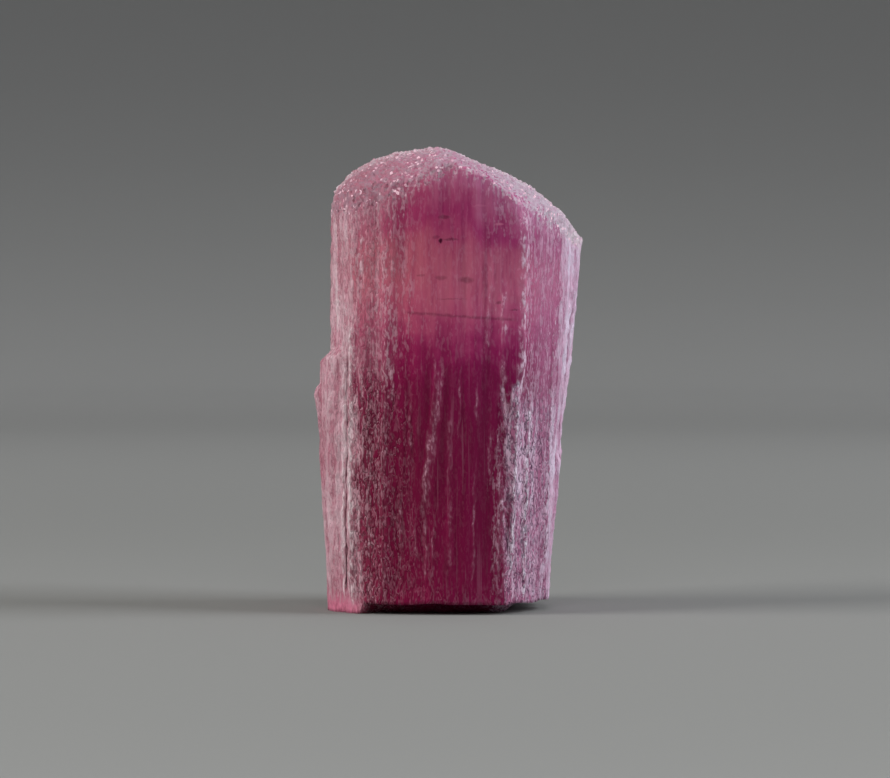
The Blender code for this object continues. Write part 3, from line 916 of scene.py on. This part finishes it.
def skin_relief(tree, at, grains, sugared, cuts):
    """Grains of sugar that each turn their own way, and the finest striae, grit and cuts."""
    geometry = tree.nodes.new("ShaderNodeNewGeometry")
    turned = vector_math(tree, "SUBTRACT", grains, (0.5, 0.5, 0.5))
    turned = vector_math(tree, "SCALE", turned, scale=product(tree, sugared, FACET_TILT))
    turned = vector_math(tree, "ADD", geometry.outputs["Normal"], turned)
    height = product(tree, woven(tree, at, BUMPS), at.frost)
    bump = filled(tree, tree.nodes.new("ShaderNodeBump"), {
        "Strength": BUMP_STRENGTH,
        "Distance": BUMP_DEPTH * MM,
        "Height": calc(tree, "SUBTRACT", height, cuts),
        "Normal": vector_math(tree, "NORMALIZE", turned),
    })
    return bump.outputs["Normal"]


def rubellite():
    """The stone: clear and red inside, with a skin that is frosted in patches and streaks."""
    material = bpy.data.materials.new("rubellite")
    material.use_nodes = True
    tree = material.node_tree
    at = place_on_crystal(tree)
    stone = bare_stone(tree, at)
    cuts, lips = cuts_and_lips(tree, at)
    cover = frost_cover(tree, at, lips)
    skin = frosted_skin(tree, at, stone, cover, cuts)

    grains = tree.nodes.new("ShaderNodeTexVoronoi")
    filled(tree, grains, {"Scale": 1.0 / SUGAR_GRAIN, "Vector": at.place})
    grains = grains.outputs["Color"]
    sugared, crust = sugar_crust(tree, at, grains, stone)

    filled(tree, tree.nodes["Principled BSDF"], {
        "Base Color": mixed(tree, sugared, skin, crust),
        "Roughness": shown(tree, calc(tree, "MAXIMUM", cover, sugared), "cover in roughness"),
        "Normal": skin_relief(tree, at, grains, sugared, cuts),
        "IOR": STONE_IOR,
        "Specular IOR Level": STONE_SPECULAR,
        "Transmission Weight": STONE_CLEARNESS,
    })
    inner = tree.nodes.new("ShaderNodeVolumeAbsorption")
    filled(tree, inner, {"Color": STONE_ABSORBS, "Density": STONE_DENSITY})
    filled(tree, tree.nodes["Material Output"], {"Volume": inner.outputs["Volume"]})
    return material


# ------------------------ the crystal: its etching
# Corrosive fluids etched the finished crystal. They cut fine striae down the prism, crackled its
# faces near the foot, nicked its edges, and left the dome covered in sharp, sugary grains.
ETCHING = {"Stria depth": 0.10, "Cut depth": 0.05, "Nick depth": 0.60, "Grain height": 1.10}
ETCHED_STRIAE = (0.42, 7.0, 2.0)  # width across the prism, length up it, and detail
ETCHED_CUTS = (0.40, 1.5, 1.5)
ETCHED_NICKS = (0.8, 1.1, 2.0)
ETCHED_GRAINS = (0.36, 0.36, 2.0)
ETCHED_CUT_WIDTH = 0.10
STEEP_TO_FLAT = (0.05, 0.50)  # the grains are lower where the dome is steep
GRAINS_ON_STEEP = 0.30
FOOT_KEPT_FLAT = (0.15, 1.2)


def etching(material):
    """Geometry nodes that cut the fine relief into the skin, along its normals."""
    tree = bpy.data.node_groups.new("etching", "GeometryNodeTree")
    tree.is_modifier = True
    tree.interface.new_socket("Geometry", in_out="INPUT", socket_type="NodeSocketGeometry")
    for name in ETCHING:
        tree.interface.new_socket(name, in_out="INPUT", socket_type="NodeSocketFloat")
    tree.interface.new_socket("Geometry", in_out="OUTPUT", socket_type="NodeSocketGeometry")
    entry = tree.nodes.new("NodeGroupInput")
    leave = tree.nodes.new("NodeGroupOutput")

    position = tree.nodes.new("GeometryNodeInputPosition")
    place = in_millimetres(tree, position.outputs[0])
    fields = {}
    for name in ("frost", "crackle", "sugar"):
        field = tree.nodes.new("GeometryNodeInputNamedAttribute")
        field.data_type = "FLOAT"
        field.inputs["Name"].default_value = name
        fields[name] = field.outputs["Attribute"]

    wall = calc(tree, "SUBTRACT", 1.0, fields["sugar"])
    striae = centred(tree, drawn_out(tree, place, *ETCHED_STRIAE))
    striae = product(tree, striae, wall, entry.outputs["Stria depth"])
    cuts = outlines(tree, drawn_out(tree, place, *ETCHED_CUTS), ETCHED_CUT_WIDTH)
    cuts = product(tree, cuts, fields["crackle"], wall, -1.0, entry.outputs["Cut depth"])
    nicks = centred(tree, drawn_out(tree, place, *ETCHED_NICKS))
    nicks = product(tree, nicks, fields["frost"], wall, entry.outputs["Nick depth"])
    grains = centred(tree, drawn_out(tree, place, *ETCHED_GRAINS))
    normal = tree.nodes.new("GeometryNodeInputNormal")
    flat = ramp_between(tree, split_up(tree, normal.outputs[0])["Z"], *STEEP_TO_FLAT)
    flat = plus(tree, GRAINS_ON_STEEP, flat, 1.0 - GRAINS_ON_STEEP)
    grains = product(tree, grains, fields["sugar"], flat, entry.outputs["Grain height"])
    relief = calc(tree, "ADD", calc(tree, "ADD", striae, cuts), calc(tree, "ADD", nicks, grains))
    above_foot = ramp_between(tree, split_up(tree, place)["Z"], *FOOT_KEPT_FLAT)
    relief = product(tree, relief, above_foot, MM)
    offset = vector_math(tree, "SCALE", normal.outputs[0], scale=relief)
    moved = tree.nodes.new("GeometryNodeSetPosition")
    filled(tree, moved, {"Geometry": entry.outputs["Geometry"], "Offset": offset})
    real = tree.nodes.new("GeometryNodeRealizeInstances")
    linked(tree, real.inputs[0], moved.outputs[0])
    finish = tree.nodes.new("GeometryNodeSetMaterial")
    filled(tree, finish, {"Geometry": real.outputs[0], "Material": material})
    linked(tree, leave.inputs[0], finish.outputs[0])
    return tree


def etched(plain, name, tree):
    """Run the etching once and keep its result as a plain mesh."""
    raw = bpy.data.objects.new(name + "_raw", plain)
    put_in_scene(raw)
    modifier = raw.modifiers.new("etching", "NODES")
    modifier.node_group = tree
    for socket in tree.interface.items_tree:
        if socket.name in ETCHING:
            modifier[socket.identifier] = ETCHING[socket.name]
    depsgraph = bpy.context.evaluated_depsgraph_get()
    mesh = bpy.data.meshes.new_from_object(raw.evaluated_get(depsgraph), depsgraph=depsgraph)
    bpy.data.objects.remove(raw, do_unlink=True)
    mesh.name = name
    piece = bpy.data.objects.new(name, mesh)
    put_in_scene(piece)
    return piece


stone = rubellite()
crystal = etched(crystal_skin(), "crystal", etching(stone))
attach(crystal, "root")
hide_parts("rubellite_crystal")

# ------------------------ the studio
# The crystal stands on matt card: a round pale floor that turns up into a grey wall, so that no
# edge shows behind it. Soft lights on both sides, above and in front light it.
FLOOR_RINGS = (0.10, 0.25, 0.50)  # radii in metres, out to where the floor turns up
FLOOR_CURVE = 0.35
FLOOR_CURVE_STEPS = 16
FLOOR_WALL = 0.60
FLOOR_SIDES = 96
CARD_MIDDLE = (0.245, 0.250, 0.241)
CARD_BANDS = (  # distances from the crystal's foot where the next shade sets in and is full; the floor's steps are painted light, darker near the crystal where the lamps fall strongest and paler where their light falls off
    (0.08, 0.36, (0.360, 0.366, 0.358)),
    (0.34, 0.54, (0.550, 0.559, 0.550)),
    (0.50, 0.75, (0.255, 0.259, 0.257)),
)
CARD_ROUGHNESS = 0.9
CARD_SPECULAR = 0.1


def studio_floor():
    """A dish turned about the vertical axis: flat floor, quarter-round curve and wall."""
    flat_radius = FLOOR_RINGS[-1]
    profile = [(radius, 0.0) for radius in FLOOR_RINGS]
    for step in range(1, FLOOR_CURVE_STEPS + 1):
        turn = 0.5 * math.pi * step / FLOOR_CURVE_STEPS
        outward, upward = math.sin(turn), 1.0 - math.cos(turn)
        profile.append((flat_radius + FLOOR_CURVE * outward, FLOOR_CURVE * upward))
    profile.append((flat_radius + FLOOR_CURVE, FLOOR_CURVE + FLOOR_WALL))
    form = bmesh.new()
    rings = []
    for radius, height in profile:
        ring = []
        for side in range(FLOOR_SIDES):
            turn = 2.0 * math.pi * side / FLOOR_SIDES
            ring.append(form.verts.new((radius * math.cos(turn), radius * math.sin(turn), height)))
        rings.append(ring)
    form.faces.new(rings[0])
    for lower, upper in zip(rings, rings[1:]):
        for side in range(FLOOR_SIDES):
            after = (side + 1) % FLOOR_SIDES
            form.faces.new((lower[side], lower[after], upper[after], upper[side]))
    bmesh.ops.recalc_face_normals(form, faces=form.faces)
    bmesh.ops.reverse_faces(form, faces=form.faces)
    mesh = bpy.data.meshes.new("studio_floor")
    form.to_mesh(mesh)
    form.free()
    mesh.shade_smooth()
    floor = bpy.data.objects.new("studio_floor", mesh)
    put_in_scene(floor)
    return floor


def floor_finish():
    """Matt card: pale on the floor, palest where it turns up, and grey on the wall; the floor's steps
    are painted light that evens out how the lamps' light falls off.
    """
    material = bpy.data.materials.new("studio_card")
    material.use_nodes = True
    tree = material.node_tree
    coordinate = tree.nodes.new("ShaderNodeTexCoord")
    distance = vector_math(tree, "LENGTH", coordinate.outputs["Object"])
    card = CARD_MIDDLE
    for sets_in_at, full_at, shade in CARD_BANDS:
        card = mixed(tree, ramp_between(tree, distance, sets_in_at, full_at), card, shade)
    shader = tree.nodes["Principled BSDF"]
    filled(tree, shader, {"Base Color": card, "Roughness": CARD_ROUGHNESS,
                          "Specular IOR Level": CARD_SPECULAR})
    return material


floor = studio_floor()
floor.data.materials.append(floor_finish())

LIGHTS = {  # soft rectangles: place, width and height, power and colour
    "left_light": ((-0.46, -0.14, 0.30), (0.30, 0.34), 2.50, (1.0, 0.97, 0.95)),
    "right_light": ((0.46, -0.08, 0.28), (0.30, 0.34), 2.80, (0.94, 0.95, 1.0)),
    "top_light": ((0.02, 0.06, 0.42), (0.30, 0.30), 0.28, (1.0, 1.0, 1.0)),
    "front_light": ((0.0, -0.53, 0.32), (0.40, 0.30), 0.76, (1.0, 1.0, 1.0)),
}
LIGHTS_AIM = (0.0, 0.0, 0.018)  # the middle of the crystal
AIR_GREY = (0.5, 0.5, 0.5, 1.0)
AIR_STRENGTH = 0.15

for name, (place, size, power, colour) in LIGHTS.items():
    data = bpy.data.lights.new(name, "AREA")
    data.shape = "RECTANGLE"
    data.size, data.size_y = size
    data.energy = power
    data.color = colour
    lamp = bpy.data.objects.new(name, data)
    lamp.location = place
    aim = Vector(LIGHTS_AIM) - Vector(place)
    lamp.rotation_euler = aim.to_track_quat("-Z", "Y").to_euler()
    lamp.visible_camera = False
    put_in_scene(lamp)

world = bpy.data.worlds.new("studio_air")
world.use_nodes = True
air = world.node_tree
filled(air, air.nodes["Background"], {"Color": AIR_GREY, "Strength": AIR_STRENGTH})
bpy.context.scene.world = world
bpy.context.scene.view_settings.view_transform = "Standard"

# ------------------------ the camera
# A long lens, aimed level with the crystal's middle from a little above. It stands far enough
# off that the crystal's upright sides look upright.
CAMERA_DISTANCE = 0.450
CAMERA_RISE = 2.0
SENSOR_WIDTH = 36.0
NEAREST, FARTHEST = 0.01, 5.0
PIXEL = 0.0000836  # what one pixel shows at the crystal, in metres
FRAME_WIDTH, FRAME_HEIGHT = 890, 778
CRYSTAL_MIDDLE = (448.5, 377.5)  # where the crystal's middle falls in the frame

middle = 0.5 * (cad_low + cad_high)
aim = Vector((middle[0] - (CRYSTAL_MIDDLE[0] - FRAME_WIDTH / 2) * PIXEL, 0.0,
              middle[2] + (CRYSTAL_MIDDLE[1] - FRAME_HEIGHT / 2) * PIXEL))
rise = math.radians(CAMERA_RISE)
lens = bpy.data.cameras.new("camera")
lens.sensor_width = SENSOR_WIDTH
lens.lens = SENSOR_WIDTH * CAMERA_DISTANCE / (FRAME_WIDTH * PIXEL)
lens.clip_start, lens.clip_end = NEAREST, FARTHEST
camera = bpy.data.objects.new("camera", lens)
camera.location = aim + CAMERA_DISTANCE * Vector((0.0, -math.cos(rise), math.sin(rise)))
camera.rotation_euler = (aim - camera.location).to_track_quat("-Z", "Y").to_euler()
put_in_scene(camera)
bpy.context.scene.camera = camera
